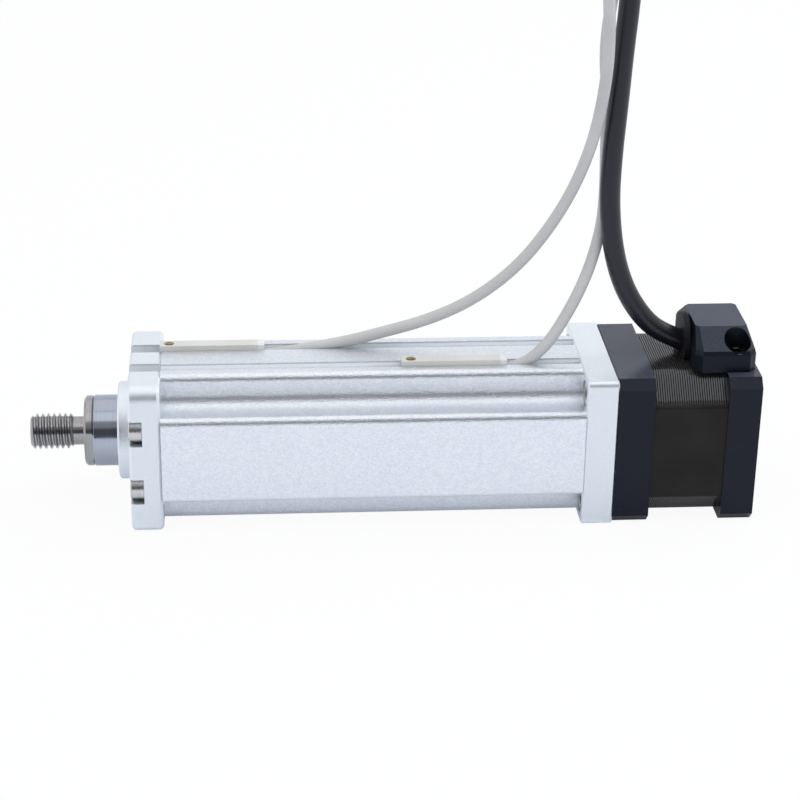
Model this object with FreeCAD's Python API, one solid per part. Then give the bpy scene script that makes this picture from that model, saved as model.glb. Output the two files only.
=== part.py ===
import FreeCAD, Part
import math
import os

os.makedirs("parts", exist_ok=True)
V = FreeCAD.Vector

# Sizes in millimetres. X runs from the rod to the motor, Z is up and the rod's axis is Y = Z = 0.
# Fits
seat = 0.05
run = 0.03
ball_play = 0.05

# Rod
rod_d = 16.0
rod_wall = 2.5
rod_out = 8.4
rod_break = 0.25
shoulder_long = 2.0
shoulder_in = 0.1
shoulder_chamfer = 0.5
wrench_size = 14.0
wrench_turn = 10.0
neck_d = 6.4
neck_long = 2.55
stud_d = 8.0
stud_long = 9.55
stud_chamfer = 0.8
plug_long = 14.0

# Front flange, barrel and rear plate
bushing_wall = 2.0
bushing_front = 3.0
wiper_back = 0.5
wiper_recess = 0.2
rod_room = 0.5
boss_wall = 0.95
boss_long = 2.8
boss_chamfer = 0.4
spigot_wall = 1.4
spigot_long = 7.0
rear_spigot_long = 9.7
body_wall = 6.0
flange_long = 7.0
flange_round = 3.0
flange_break = 0.6
plate_long = 7.0
plate_round = 1.3
plate_break = 0.3
notch_deep = 7.3
notch_round = 3.1
arm_round = 1.6
slot_y = 5.25
slot_deep = 2.4
slot_d = 4.2
slot_mouth = 3.3
bolt_inset = 4.5
mount_hole_d = 3.3

# Travel
stroke = 50.0
screw_lead = 5.0
bumper_long = 1.5
front_room = 1.0
rear_room = 0.5

# Piston and nut
piston_long = 22.0
piston_play = 0.25
tube_grip = 4.5
nut_step = 0.5
nut_long = 16.5
nut_ball_d = 2.0
nut_ball_count = 6
ring_deep = 0.95
wear_ring_long = 4.0
wear_ring_at = 1.5
magnet_sunk = 0.1
magnet_long = 4.0
magnet_at = 7.0
key_w = 2.8
key_long = 8.0
key_at = 13.0
key_deep = 1.45
key_proud = 1.1
key_play = 0.1

# Screw and its bearings
screw_d = 8.3
screw_front_gap = 2.5
collar_step = 1.0
collar_long = 3.7
journal_d = 8.0
journal_gap = 0.5
journal_room = 1.0
bearing_d = 16.0
bearing_long = 5.0
race_wall = 0.95
seal_long = 0.4
seal_play = 0.25
lip_long = 1.5
lip_step = 1.5
retainer_step = 1.25
retainer_lap = 0.05
retainer_long = 2.5
lock_nut_wall = 2.2
lock_nut_long = 2.6
pin_d = 1.5
pin_sunk = 0.2
pin_at = 1.0

# Motor
front_cap_long = 8.1
stack_long = 16.4
rear_cap_long = 7.3
cap_chamfer = 2.05
stack_chamfer = 6.0
stack_recess = 0.3
pilot_d = 22.0
pilot_long = 2.0
shaft_d = 5.0
shaft_grip = 11.2
motor_bearing_d = 11.0
motor_bearing_long = 3.0
motor_race_wall = 0.9
shoulder_step = 0.6
rotor_d = 18.4
air_gap = 0.35
rotor_end_gap = 0.5
winding_gap = 0.8
winding_thick = 4.0
winding_long = 3.1
winding_room = 1.0
cavity_deep = 3.5
lead_out_half = 5.0
seat_wall = 0.8

# Cable cover, grommet and cable
cover_front = 7.1
cover_rear = 0.8
cover_half = 13.0
cover_corner = 1.5
cover_wall_high = 3.9
cover_band = 0.9
cover_band_in = 0.6
cover_high = 8.45
cover_top_front = 0.8
cover_top_rear = 1.3
cover_top_half = 6.55
cover_skin = 1.4
cover_screw_y = 9.85
cover_screw_back = 4.8
cover_screw_seat = 2.1
grommet_z = 3.0
grommet_d = 11.8
grommet_neck_d = 9.2
grommet_out = 1.15
grommet_in = 2.8
grommet_lift = 0.15
cable_d = 4.6
cable_sunk = 0.6
cable_drop = 0.7
cable_route = [
    (0, 0, 0),
    (-5.1, 0, 2.05),
    (-9.35, 0, 5.55),
    (-13.8, 0, 12.2),
    (-16.85, 0, 20.95),
    (-18.5, 0, 32.5),
    (-18.45, 0, 44.0),
    (-17.75, 0, 56.0),
    (-17.25, 0, 67.4),
    (-16.4, 0, 79.2),
    (-16.4, 0, 90.6),
]
plug_wide = 10.0
plug_deep = 7.0
plug_tall = 15.0

# Position sensors and their leads
sensor_long = 22.0
sensor_play = 0.15
sensor_side_play = 0.1
sensor_proud = 1.15
window_long = 1.4
sensor_front_at = -0.45
sensor_rear_at = -40.1
set_screw_d = 2.2
set_screw_at = 2.1
set_screw_sunk = 0.2
lead_d = 2.6
lead_up = 0.6
lead_sunk = 0.8
wire_d = 0.8
wire_long = 6.0
front_route = [
    (0, 0, 0),
    (3.1, 0, 0.05),
    (16.9, 0, 2.4),
    (22.5, -0.2, 4.05),
    (42.2, -0.8, 10.2),
    (56.2, -2.7, 19.95),
    (65.8, -4.5, 34.2),
    (71.4, -6.8, 49.05),
    (73.7, -9.1, 64.85),
    (73.7, -9.85, 78.85),
    (72.4, -9.85, 91.65),
]
rear_route = [
    (0, 0, 0),
    (4.2, 0, 1.0),
    (7.6, 0.05, 3.55),
    (11.3, 1.45, 6.95),
    (17.7, 3.75, 18.05),
    (21.7, 8.25, 28.25),
    (22.9, 11.15, 36.25),
    (22.6, 12.15, 47.95),
    (22.5, 12.45, 58.2),
    (21.3, 12.7, 68.55),
    (22.0, 12.75, 78.55),
    (23.5, 12.75, 88.7),
]

# Fasteners
m3_d = 3.0
m3_head_d = 5.5
m3_head_long = 3.0
head_play = 0.225
head_sunk = 0.2
flange_screw_z = 7.0
flange_screw_long = 10.0
plate_screw_in = 4.3
plate_screw_z = 7.0
plate_screw_long = 10.0
motor_screw_long = 7.8
case_screw_d = 2.5
case_screw_head_d = 4.6
case_screw_head_long = 1.8
cover_screw_long = 6.0
cover_screw_head_long = 2.0
tip_room = 1.0

guide_d = rod_d + 2 * bushing_wall
guide_seat_d = guide_d + 2 * seat
rod_bore = rod_d - 2 * rod_wall
rod_hole_d = rod_d + 2 * rod_room
shoulder_d = rod_d - 2 * shoulder_in
boss_d = guide_seat_d + 2 * boss_wall
spigot_d = guide_seat_d + 2 * spigot_wall
bore_d = spigot_d + 2 * seat
body_size = bore_d + 2 * body_wall
half = body_size / 2
arm_half = half - notch_deep
slot_z = half - slot_deep
bolt_at = half - bolt_inset
flange_screw_y = half - m3_head_d / 2
plate_screw_y = half - plate_screw_in
m3_pocket_d = m3_head_d + 2 * head_play
piston_d = bore_d - 2 * piston_play
ring_groove_d = piston_d - 2 * ring_deep
magnet_d = piston_d - 2 * magnet_sunk
key_root = piston_d / 2 - key_deep
key_top = bore_d / 2 + key_proud
nut_d = rod_d + 2 * nut_step
collar_d = journal_d + 2 * collar_step
bearing_inner_d = journal_d + 2 * race_wall
bearing_outer_d = bearing_d - 2 * race_wall
lip_d = bearing_d - 2 * lip_step
retainer_d = bearing_d + 2 * retainer_step
retainer_hole_d = bearing_outer_d - 2 * retainer_lap
lock_nut_d = journal_d + 2 * lock_nut_wall
pilot_hole_d = journal_d + 2 * journal_room
pin_long = journal_d - 2 * pin_sunk
motor_bearing_inner_d = shaft_d + 2 * motor_race_wall
motor_bearing_outer_d = motor_bearing_d - 2 * motor_race_wall
shaft_hole_d = motor_bearing_outer_d - 2 * shoulder_step
winding_bore = rotor_d + 2 * winding_gap
winding_d = winding_bore + 2 * winding_thick
cavity_d = winding_d + 2 * winding_room
sensor_d = slot_d - 2 * sensor_play
sensor_neck = slot_mouth - 2 * sensor_side_play
sensor_top = half + sensor_proud
lead_z = slot_z + lead_up

front_end = flange_long + spigot_long
piston_front = front_end + bumper_long + front_room + stroke
piston_rear = piston_front + piston_long
rear_end = piston_rear + rear_room + bumper_long
barrel_rear = rear_end + rear_spigot_long
motor_face = barrel_rear + plate_long
stack_front = motor_face + front_cap_long
stack_rear = stack_front + stack_long
motor_rear = stack_rear + rear_cap_long
bearing_front = rear_end + lip_long
bearing_rear = bearing_front + 2 * bearing_long
pilot_front = motor_face - pilot_long
nut_front = piston_front + tube_grip
screw_front = front_end + bumper_long + screw_front_gap
journal_end = motor_face - journal_gap
shaft_front = journal_end - shaft_grip
motor_bearing_front = stack_front - cavity_deep - motor_bearing_long
motor_bearing_rear = motor_rear - seat_wall - motor_bearing_long
shaft_rear = motor_rear - seat_wall - 4 * seat


def along(start, end, diameter, y=0, z=0):
    return Part.makeCylinder(diameter / 2, end - start, V(start, y, z), V(1, 0, 0))


def upright(x, y, bottom, top, diameter):
    return Part.makeCylinder(diameter / 2, top - bottom, V(x, y, bottom), V(0, 0, 1))


def ring(start, end, outer, inner):
    return along(start, end, outer).cut(along(start, end, inner))


def box(start, end, y0, y1, z0, z1):
    return Part.makeBox(end - start, y1 - y0, z1 - z0, V(start, y0, z0))


def square(start, end, size):
    return box(start, end, -size / 2, size / 2, -size / 2, size / 2)


def corners(y, z):
    return [(side * y, level * z) for side in (-1, 1) for level in (-1, 1)]


def long_edges(shape):
    found = []
    for edge in shape.Edges:
        first = edge.Vertexes[0].Point
        last = edge.Vertexes[-1].Point
        if math.hypot(first.y - last.y, first.z - last.z) < 1e-6:
            found.append(edge)
    return found


def rim(shape, x, diameter):
    around = math.pi * diameter
    return [e for e in shape.Edges if abs(e.CenterOfMass.x - x) < 1e-6 and abs(e.Length - around) < 1e-3]


def end_edges(shape, x):
    return [e for e in shape.Edges if all(abs(corner.Point.x - x) < 1e-6 for corner in e.Vertexes)]


def polygon(points):
    return Part.makePolygon([V(*p) for p in points] + [V(*points[0])])


def cap_screw(under_head, way, long, y, z, d=m3_d, head_d=m3_head_d, head_long=m3_head_long):
    shank = along(*sorted((under_head, under_head + way * long)), d, y, z)
    head = along(*sorted((under_head, under_head - way * head_long)), head_d, y, z)
    return shank.fuse(head).removeSplitter()


def sealed_ring(start, long, outer, race, inner):
    seals = [
        ring(start, start + seal_long, outer, inner + 2 * seal_play),
        ring(start + long - seal_long, start + long, outer, inner + 2 * seal_play),
    ]
    return ring(start, start + long, outer, race).fuse(seals).removeSplitter()


def cord(start, route, d):
    points = [start + V(*step) for step in route]
    edges = []
    here = points[0]
    for before, corner, after in zip(points, points[1:], points[2:]):
        trim = 0.45 * min(before.distanceToPoint(corner), corner.distanceToPoint(after))
        into = (corner - before).normalize()
        out = (after - corner).normalize()
        turn = into.getAngle(out)
        radius = trim / math.tan(turn / 2)
        first = corner - into * trim
        last = corner + out * trim
        middle = corner + (out - into).normalize() * (radius / math.cos(turn / 2) - radius)
        edges.append(Part.LineSegment(here, first).toShape())
        edges.append(Part.Arc(first, middle, last).toShape())
        here = last
    edges.append(Part.LineSegment(here, points[-1]).toShape())
    path = Part.Wire(edges)
    section = Part.Wire(Part.makeCircle(d / 2, points[0], points[1] - points[0]))
    tube = path.makePipeShell([section], True, False)
    print("cord", round(path.Length, 1), round(tube.Volume / (path.Length * math.pi * d * d / 4), 4))
    return tube, points[-1], (points[-1] - points[-2]).normalize()


def save(name, *solids):
    shape = solids[0] if len(solids) == 1 else Part.makeCompound(list(solids))
    shape.exportStep("parts/" + name + ".step")


# Front flange with its boss, spigot, sensor slots and the four open screw pockets
flange = square(0, flange_long, body_size)
flange = flange.makeFillet(flange_round, long_edges(flange))
flange = flange.makeChamfer(flange_break, end_edges(flange, 0) + end_edges(flange, flange_long))
boss = along(-boss_long, 0, boss_d)
boss = boss.makeChamfer(boss_chamfer, rim(boss, -boss_long, boss_d))
flange = flange.fuse([boss, along(flange_long, front_end, spigot_d)]).removeSplitter()
flange_cuts = [
    along(-boss_long, wiper_back, guide_seat_d),
    along(-boss_long, front_end, rod_hole_d),
    along(bushing_front, front_end, guide_seat_d),
]
for side in (-1, 1):
    flange_cuts.append(along(0, flange_long, slot_d, side * slot_y, slot_z))
    slot_low = side * slot_y - slot_d / 2
    flange_cuts.append(box(0, flange_long, slot_low, slot_low + slot_d, slot_z, half))
for y, z in corners(bolt_at, bolt_at):
    flange_cuts.append(along(0, flange_long, mount_hole_d, y, z))
for y, z in corners(flange_screw_y, flange_screw_z):
    side_face = math.copysign(half, y)
    flange_cuts.append(along(0, m3_head_long, m3_pocket_d, y, z))
    flange_cuts.append(
        box(0, m3_head_long, min(y, side_face), max(y, side_face), z - m3_pocket_d / 2, z + m3_pocket_d / 2)
    )
    flange_cuts.append(along(0, flange_long, m3_d + 4 * seat, y, z))
save("front_flange", flange.cut(flange_cuts))
flange_screw_spots = corners(flange_screw_y, flange_screw_z)
save("flange_screws", *[cap_screw(m3_head_long, 1, flange_screw_long, y, z) for y, z in flange_screw_spots])
save("rod_wiper", ring(wiper_recess - boss_long, wiper_back, guide_d, rod_d + 2 * run))
save("rod_bushing", ring(bushing_front, front_end, guide_d, rod_d + 2 * run))
save("front_bumper", ring(front_end, front_end + bumper_long, piston_d, rod_hole_d))
save("rear_bumper", ring(rear_end - bumper_long, rear_end, piston_d, lip_d))

# Barrel: a square with four corner notches, two sensor slots on top, the bore and its keyway
outline = []
for a, b in ((1, 1), (-1, 1), (-1, -1), (1, -1)):
    wing = [(half, arm_half), (arm_half, arm_half), (arm_half, half)]
    outline += [(flange_long, a * y, b * z) for y, z in (wing if a * b > 0 else wing[::-1])]
barrel = Part.Face(polygon(outline)).extrude(V(barrel_rear - flange_long, 0, 0))
inner = [e for e in long_edges(barrel) if max(abs(e.CenterOfMass.y), abs(e.CenterOfMass.z)) < half - 1e-6]
barrel = barrel.makeFillet(notch_round, inner)
reach = half + arm_half
outer = [e for e in long_edges(barrel) if abs(abs(e.CenterOfMass.y) + abs(e.CenterOfMass.z) - reach) < 1e-6]
barrel = barrel.makeFillet(arm_round, outer)
keyway_half = key_w / 2 + key_play
keyway_top = key_top + 2 * key_play
barrel_cuts = [
    along(flange_long, barrel_rear, bore_d),
    box(flange_long, barrel_rear, -keyway_half, keyway_half, -keyway_top, 0),
]
for side in (-1, 1):
    mouth = (side * slot_y - slot_mouth / 2, side * slot_y + slot_mouth / 2)
    barrel_cuts.append(along(flange_long, barrel_rear, slot_d, side * slot_y, slot_z))
    barrel_cuts.append(box(flange_long, barrel_rear, *mouth, slot_z, half))
for y, z in corners(flange_screw_y, flange_screw_z):
    tip = m3_head_long + flange_screw_long + tip_room
    barrel_cuts.append(along(flange_long, tip, m3_d + 2 * seat, y, z))
plate_seat = motor_face - m3_head_long - 2 * head_sunk
for y, z in corners(plate_screw_y, plate_screw_z):
    barrel_cuts.append(along(plate_seat - plate_screw_long - tip_room, barrel_rear, m3_d + 2 * seat, y, z))
save("barrel", barrel.cut(barrel_cuts))

# Rear plate with the bearing housing, and the screws to the barrel and to the motor
plate = square(barrel_rear, motor_face, body_size)
plate = plate.makeFillet(plate_round, long_edges(plate))
plate = plate.makeChamfer(plate_break, end_edges(plate, barrel_rear) + end_edges(plate, motor_face))
plate = plate.fuse(along(rear_end, barrel_rear, spigot_d)).removeSplitter()
motor_seat = barrel_rear + m3_head_long + head_sunk
plate_cuts = [
    along(rear_end, motor_face, lip_d),
    along(bearing_front, motor_face, bearing_d + 2 * seat),
    along(bearing_rear, motor_face, retainer_d + 2 * seat),
    along(pilot_front - head_sunk, motor_face, pilot_d + 2 * seat),
]
for y, z in corners(plate_screw_y, plate_screw_z):
    plate_cuts.append(along(barrel_rear, motor_face, m3_d + 4 * seat, y, z))
    plate_cuts.append(along(plate_seat, motor_face, m3_pocket_d, y, z))
for y, z in corners(bolt_at, bolt_at):
    plate_cuts.append(along(barrel_rear, motor_face, m3_d + 4 * seat, y, z))
    plate_cuts.append(along(barrel_rear, motor_seat, m3_pocket_d, y, z))
save("rear_plate", plate.cut(plate_cuts))
plate_screw_spots = corners(plate_screw_y, plate_screw_z)
save("plate_screws", *[cap_screw(plate_seat, -1, plate_screw_long, y, z) for y, z in plate_screw_spots])
motor_screw_spots = corners(bolt_at, bolt_at)
save("motor_screws", *[cap_screw(motor_seat, 1, motor_screw_long, y, z) for y, z in motor_screw_spots])

# Screw bearings, retainer and lock nut
outer_rings = []
inner_rings = []
for x in (bearing_front, bearing_front + bearing_long):
    outer_rings.append(sealed_ring(x, bearing_long, bearing_d, bearing_outer_d, bearing_inner_d))
    inner_rings.append(ring(x, x + bearing_long, bearing_inner_d, journal_d + 2 * seat))
save("bearing_outer_rings", *outer_rings)
save("bearing_inner_rings", *inner_rings)
save("bearing_retainer", ring(bearing_rear, bearing_rear + retainer_long, retainer_d, retainer_hole_d))
save("lock_nut", ring(bearing_rear, bearing_rear + lock_nut_long, lock_nut_d, journal_d + 2 * seat))

# Screw, drive pin and the shaft they turn with
pin_x = journal_end - pin_at
pin_hole = upright(pin_x, 0, -half, half, pin_d + 2 * seat)
screw = along(screw_front, bearing_front - collar_long, screw_d)
screw = screw.fuse([
    along(bearing_front - collar_long, bearing_front, collar_d),
    along(bearing_front, journal_end, journal_d),
])
screw = screw.removeSplitter()
save("ball_screw", screw.cut([along(shaft_front, journal_end, shaft_d + 2 * seat), pin_hole]))
save("motor_shaft", along(shaft_front, shaft_rear, shaft_d).cut(pin_hole))
save("drive_pin", upright(pin_x, 0, -pin_long / 2, pin_long / 2, pin_d))

# Rod, its threaded end, the piston and the nut in it
tube_front = -rod_out
shoulder_front = tube_front - shoulder_long
stud_rear = shoulder_front - neck_long
stud_tip = stud_rear - stud_long
rod_tube = ring(tube_front, nut_front, rod_d, rod_bore)
save("rod_tube", rod_tube.makeChamfer(rod_break, rim(rod_tube, tube_front, rod_d)))
stud = along(stud_tip, stud_rear, stud_d)
stud = stud.makeChamfer(stud_chamfer, rim(stud, stud_tip, stud_d))
shoulder = along(shoulder_front, tube_front, shoulder_d)
shoulder = shoulder.makeChamfer(shoulder_chamfer, rim(shoulder, shoulder_front, shoulder_d))
shoulder = shoulder.makeChamfer(rod_break, rim(shoulder, tube_front, shoulder_d))
wrench = box(shoulder_front, tube_front, -wrench_size / 2, wrench_size / 2, -rod_d, rod_d)
wrench.rotate(V(0, 0, 0), V(1, 0, 0), wrench_turn)
rod_end = stud.fuse([
    along(stud_rear, shoulder_front, neck_d),
    shoulder.common(wrench),
    along(tube_front, tube_front + plug_long, rod_bore - 2 * seat),
])
save("rod_end", rod_end.removeSplitter())

wear_front = piston_front + wear_ring_at
magnet_front = piston_front + magnet_at
key_front = piston_front + key_at
key_rear = key_front + key_long
key_slot = box(key_front, key_rear, -key_w / 2 - seat, key_w / 2 + seat, -key_top, -key_root)
piston = along(piston_front, piston_rear, piston_d).cut([
    along(piston_front, nut_front, rod_d + 2 * seat),
    along(nut_front, piston_rear, nut_d + 2 * seat),
    ring(wear_front, wear_front + wear_ring_long, bore_d, ring_groove_d),
    ring(magnet_front, magnet_front + magnet_long, bore_d, ring_groove_d),
    key_slot,
])
save("piston", piston)
save("wear_ring", ring(wear_front, wear_front + wear_ring_long, bore_d - 2 * run, ring_groove_d + 2 * seat))
save("magnet_ring", ring(magnet_front, magnet_front + magnet_long, magnet_d, ring_groove_d + 2 * seat))
save("guide_key", box(key_front, key_rear, -key_w / 2, key_w / 2, -key_top, -key_root))

nut_race_d = screw_d + 2 * ball_play + nut_ball_d
nut_bore = nut_race_d + nut_ball_d
save("ball_nut", ring(nut_front, nut_front + nut_long, nut_d, nut_bore))
nut_balls = []
for n in range(nut_ball_count):
    angle = 2 * math.pi * n / nut_ball_count
    x = nut_front + nut_long / 2 + screw_lead * (n / nut_ball_count - 0.5)
    centre = V(x, nut_race_d / 2 * math.cos(angle), nut_race_d / 2 * math.sin(angle))
    nut_balls.append(Part.makeSphere(nut_ball_d / 2, centre))
save("nut_balls", *nut_balls)

# Motor caps, laminated stack, windings, rotor and bearings
front_cap = square(motor_face, stack_front, body_size)
front_cap = front_cap.makeChamfer(cap_chamfer, long_edges(front_cap))
front_cap = front_cap.fuse(along(pilot_front, motor_face, pilot_d)).removeSplitter()
front_cap_cuts = [
    along(pilot_front, motor_face, pilot_hole_d),
    along(motor_face, stack_front, shaft_hole_d),
    along(motor_bearing_front, stack_front, motor_bearing_d + 2 * seat),
    along(stack_front - cavity_deep, stack_front, cavity_d),
]
for y, z in corners(bolt_at, bolt_at):
    front_cap_cuts.append(along(motor_face, stack_front, m3_d + 2 * seat, y, z))
save("motor_front_cap", front_cap.cut(front_cap_cuts))

stack = square(stack_front, stack_rear, body_size - 2 * stack_recess)
stack = stack.makeChamfer(stack_chamfer, long_edges(stack))
stack_cuts = [along(stack_front, stack_rear, rotor_d + 2 * air_gap)]
for y, z in corners(bolt_at, bolt_at):
    stack_cuts.append(along(stack_front, stack_rear, case_screw_d + 2 * seat, y, z))
save("motor_stator", stack.cut(stack_cuts))
save(
    "motor_windings",
    ring(stack_front - winding_long, stack_front, winding_d, winding_bore),
    ring(stack_rear, stack_rear + winding_long, winding_d, winding_bore),
)

cover_x = stack_rear - cover_front
cover_end = motor_rear - cover_rear
cover_screw_x = motor_rear - cover_screw_back
cover_screw_z = half + cover_screw_seat
rear_cap = square(stack_rear, motor_rear, body_size)
rear_cap = rear_cap.makeChamfer(cap_chamfer, long_edges(rear_cap))
case_seat = motor_rear - case_screw_head_long - head_sunk
rear_cap_cuts = [
    along(stack_rear, motor_bearing_rear + motor_bearing_long, motor_bearing_d + 2 * seat),
    along(stack_rear, stack_rear + cavity_deep, cavity_d),
    box(stack_rear, stack_rear + cavity_deep, -lead_out_half, lead_out_half, 0, half),
]
for y, z in corners(bolt_at, bolt_at):
    rear_cap_cuts.append(along(stack_rear, motor_rear, case_screw_d + 4 * seat, y, z))
    rear_cap_cuts.append(along(case_seat, motor_rear, case_screw_head_d + 4 * seat, y, z))
for side in (-1, 1):
    hole_bottom = cover_screw_z - cover_screw_long - 4 * seat
    rear_cap_cuts.append(upright(cover_screw_x, side * cover_screw_y, hole_bottom, half, m3_d + 2 * seat))
save("motor_rear_cap", rear_cap.cut(rear_cap_cuts))
case_screw_long = case_seat - motor_seat - motor_screw_long - tip_room
case_screws = []
for y, z in corners(bolt_at, bolt_at):
    sizes = (case_screw_d, case_screw_head_d, case_screw_head_long)
    case_screws.append(cap_screw(case_seat, -1, case_screw_long, y, z, *sizes))
save("case_screws", *case_screws)

motor_outer_rings = []
motor_inner_rings = []
for x in (motor_bearing_front, motor_bearing_rear):
    sizes = (motor_bearing_d, motor_bearing_outer_d, motor_bearing_inner_d)
    motor_outer_rings.append(sealed_ring(x, motor_bearing_long, *sizes))
    motor_inner_rings.append(ring(x, x + motor_bearing_long, motor_bearing_inner_d, shaft_d + 2 * seat))
save("motor_bearing_outer_rings", *motor_outer_rings)
save("motor_bearing_inner_rings", *motor_inner_rings)
rotor_front = stack_front + rotor_end_gap
save("motor_rotor", ring(rotor_front, stack_rear - rotor_end_gap, rotor_d, shaft_d + 2 * seat))

# Cable cover: a hipped box over the motor's edge, open below, with two sunk screws and a grommet


def cover_level(z, front, rear, wide, cut):
    points = [(front, cut - wide), (front + cut, -wide), (rear - cut, -wide), (rear, cut - wide)]
    points += [(x, -y) for x, y in points[::-1]]
    return polygon([(x, y, half + z) for x, y in points])


levels = [
    cover_level(0, cover_x, cover_end, cover_half, cover_corner),
    cover_level(cover_wall_high, cover_x, cover_end, cover_half, cover_corner),
    cover_level(
        cover_wall_high + cover_band,
        cover_x + cover_band_in / 3,
        cover_end - cover_band_in / 3,
        cover_half - cover_band_in,
        cover_corner,
    ),
    cover_level(
        cover_high, cover_x + cover_top_front, cover_end - cover_top_rear, cover_top_half, cover_corner / 2
    ),
]
cover = Part.makeLoft(levels, True, True)
grommet_face = cover_x - grommet_out
grommet_axis = half + grommet_z
cover_cuts = [
    box(
        cover_x + cover_skin,
        cover_end - cover_skin,
        -cover_top_half,
        cover_top_half,
        half,
        half + cover_high - cover_skin,
    ),
    along(cover_x, cover_x + grommet_in, grommet_neck_d + 2 * seat, 0, grommet_axis),
    box(
        cover_x,
        cover_x + grommet_in,
        -grommet_neck_d / 2 - seat,
        grommet_neck_d / 2 + seat,
        half,
        grommet_axis,
    ),
]
cover_screws = []
for side in (-1, 1):
    y = side * cover_screw_y
    cover_cuts.append(upright(cover_screw_x, y, half, half + cover_high, m3_d + 4 * seat))
    cover_cuts.append(upright(cover_screw_x, y, cover_screw_z, half + cover_high, m3_pocket_d))
    head = upright(cover_screw_x, y, cover_screw_z, cover_screw_z + cover_screw_head_long, m3_head_d)
    shank = upright(cover_screw_x, y, cover_screw_z - cover_screw_long, cover_screw_z, m3_d)
    cover_screws.append(head.fuse(shank).removeSplitter())
save("cable_cover", cover.cut(cover_cuts))
save("cover_screws", *cover_screws)
grommet = along(grommet_face, cover_x, grommet_d, 0, grommet_axis)
grommet_end = cover_x + grommet_in
grommet = grommet.fuse(along(grommet_face, grommet_end, grommet_neck_d, 0, grommet_axis)).removeSplitter()
floor_cut = box(grommet_face, grommet_end, -grommet_d, grommet_d, 0, half + grommet_lift)
cable_start = V(grommet_face + cable_sunk, 0, grommet_axis - cable_drop)
socket = Part.makeCylinder(cable_d / 2 + seat, grommet_d, cable_start, V(*cable_route[1]))
save("cable_grommet", grommet.cut([floor_cut, socket]))
cable, cable_tip, cable_way = cord(cable_start, cable_route, cable_d)
save("motor_cable", cable)
plug = Part.makeBox(plug_wide, plug_deep, plug_tall, cable_tip - V(plug_wide / 2, plug_deep / 2, 0))
save("motor_plug", plug)

# Position sensors in the top slots, each with a clear end, a set screw and a lead
sensor_bodies = []
sensor_windows = []
sensor_screws = []
lead_wires = []
slot_touch = slot_z - math.sqrt(slot_d ** 2 - set_screw_d ** 2) / 2


def sensor_bar(start, end, y):
    bar = along(start, end, sensor_d, y, slot_z)
    neck = box(start, end, y - sensor_neck / 2, y + sensor_neck / 2, slot_z, sensor_top)
    return bar.fuse(neck).removeSplitter()


sensors = [
    ("lead_front", flange_long + sensor_front_at, slot_y, front_route),
    ("lead_rear", barrel_rear + sensor_rear_at, -slot_y, rear_route),
]
for lead_name, x, y, route in sensors:
    body_end = x + sensor_long
    window_end = body_end + window_long
    hole = upright(x + set_screw_at, y, 0, half * 2, set_screw_d + 2 * seat)
    sensor_bodies.append(sensor_bar(x, body_end, y).cut(hole))
    lead_start = V(window_end - lead_sunk, y, lead_z)
    lead_hole = Part.makeCylinder(lead_d / 2 + seat, window_long, lead_start, V(*route[1]))
    sensor_windows.append(sensor_bar(body_end, window_end, y).cut(lead_hole))
    sensor_screws.append(upright(x + set_screw_at, y, slot_touch, sensor_top - set_screw_sunk, set_screw_d))
    lead, tip, way = cord(lead_start, route, lead_d)
    save(lead_name, lead)
    across = way.cross(V(0, 1, 0)).normalize() * wire_d * 0.7
    for offset in (across, -across):
        lead_wires.append(Part.makeCylinder(wire_d / 2, wire_long, tip + offset, way))
save("sensor_bodies", *sensor_bodies)
save("sensor_windows", *sensor_windows)
save("sensor_screws", *sensor_screws)
save("lead_wires", *lead_wires)
print("overall", stud_tip, motor_rear)
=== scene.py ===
import math

import bmesh
import bpy
from mathutils import Matrix, Vector


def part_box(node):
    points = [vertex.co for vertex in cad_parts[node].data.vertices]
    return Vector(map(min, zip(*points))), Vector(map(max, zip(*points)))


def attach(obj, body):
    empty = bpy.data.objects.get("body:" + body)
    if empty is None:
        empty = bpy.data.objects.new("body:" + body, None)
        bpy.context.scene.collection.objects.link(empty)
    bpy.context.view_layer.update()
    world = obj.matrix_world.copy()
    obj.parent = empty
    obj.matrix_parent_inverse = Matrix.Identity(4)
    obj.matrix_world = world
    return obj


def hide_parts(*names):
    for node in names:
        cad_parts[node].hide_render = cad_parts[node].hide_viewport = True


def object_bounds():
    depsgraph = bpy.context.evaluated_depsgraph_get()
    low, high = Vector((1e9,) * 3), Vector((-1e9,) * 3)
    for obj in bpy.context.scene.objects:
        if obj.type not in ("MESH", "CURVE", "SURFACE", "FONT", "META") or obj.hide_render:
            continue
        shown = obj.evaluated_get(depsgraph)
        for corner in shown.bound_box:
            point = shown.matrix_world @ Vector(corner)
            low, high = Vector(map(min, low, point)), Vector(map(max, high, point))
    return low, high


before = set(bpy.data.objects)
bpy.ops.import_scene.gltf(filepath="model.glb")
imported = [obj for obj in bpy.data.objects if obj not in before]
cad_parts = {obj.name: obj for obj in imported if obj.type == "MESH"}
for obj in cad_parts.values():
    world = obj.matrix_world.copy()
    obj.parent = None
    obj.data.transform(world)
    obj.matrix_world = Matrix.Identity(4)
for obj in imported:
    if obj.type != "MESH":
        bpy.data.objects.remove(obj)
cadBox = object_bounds()
scene = bpy.context.scene
mm = 0.001
mergeReach = 1e-6
white = (1.0, 1.0, 1.0, 1.0)
print("frame loaded:", len(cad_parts), "nodes")


def addObject(name, data):
    thing = bpy.data.objects.new(name, data)
    scene.collection.objects.link(thing)
    return thing


# node helpers, used by the geometry trees and by the materials
def wire(tree, value, socket):
    if isinstance(value, bpy.types.NodeSocket):
        tree.links.new(value, socket)
    else:
        socket.default_value = value


def put(tree, kind, inputs=None, **settings):
    node = tree.nodes.new(kind)
    for key, value in settings.items():
        setattr(node, key, value)
    for key, value in (inputs or {}).items():
        wire(tree, value, node.inputs[key])
    return node


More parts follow.
